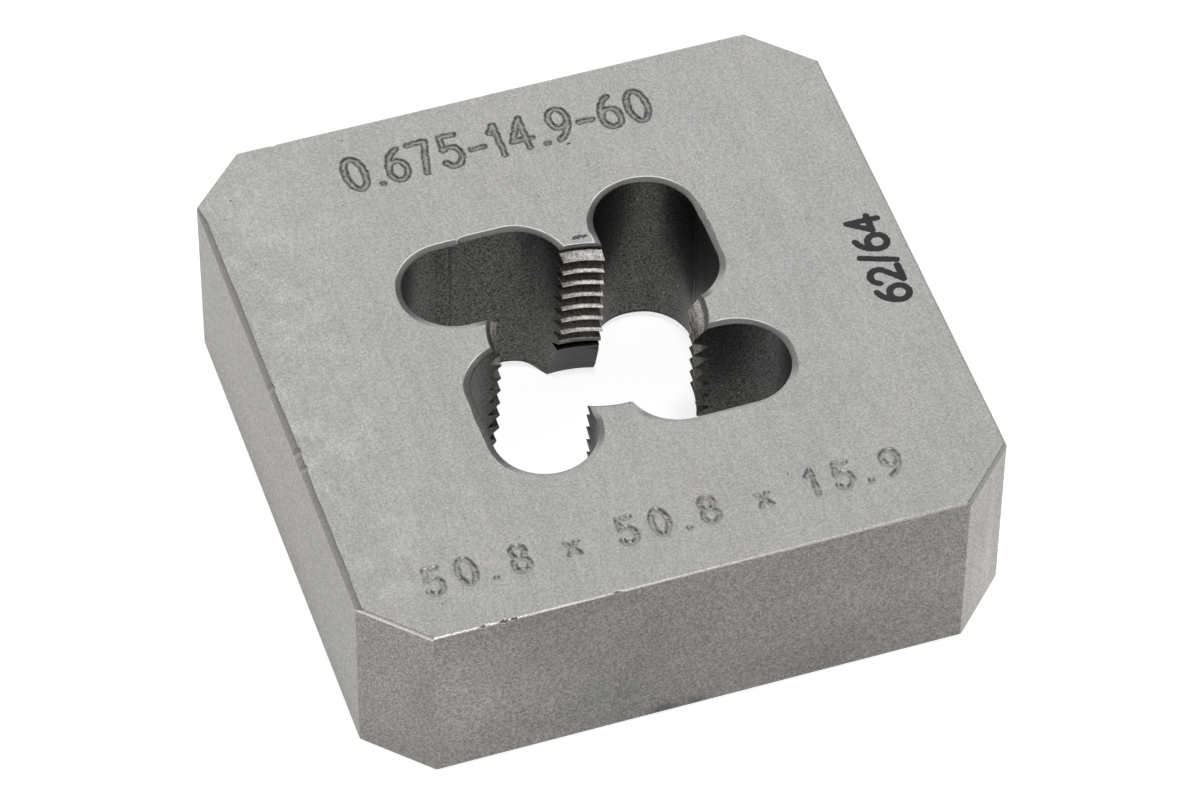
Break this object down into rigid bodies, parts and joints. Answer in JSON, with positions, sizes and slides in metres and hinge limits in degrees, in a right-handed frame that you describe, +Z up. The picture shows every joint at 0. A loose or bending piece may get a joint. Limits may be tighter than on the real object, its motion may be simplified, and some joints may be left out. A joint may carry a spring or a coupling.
{
  "type": "pipe die",
  "caption": "Square solid steel block with a tapered threaded bore, chip flutes round it and cut off corners, for cutting pipe threads by hand.",
  "frame": {"origin": "middle of the underside, on the thread's axis at the face where the pipe enters", "axes": "+Z up along the thread towards its small end, +X right and +Y back along the sides of the square"},
  "size_m": [0.0508, 0.0508, 0.0159],
  "materials": {
    "ground_steel": "ground, fine straight grain on the flat faces, dull in the flutes"
  },
  "bodies": {
    "root": {"pipe_die": "ground_steel"}
  },
  "joints": []
}
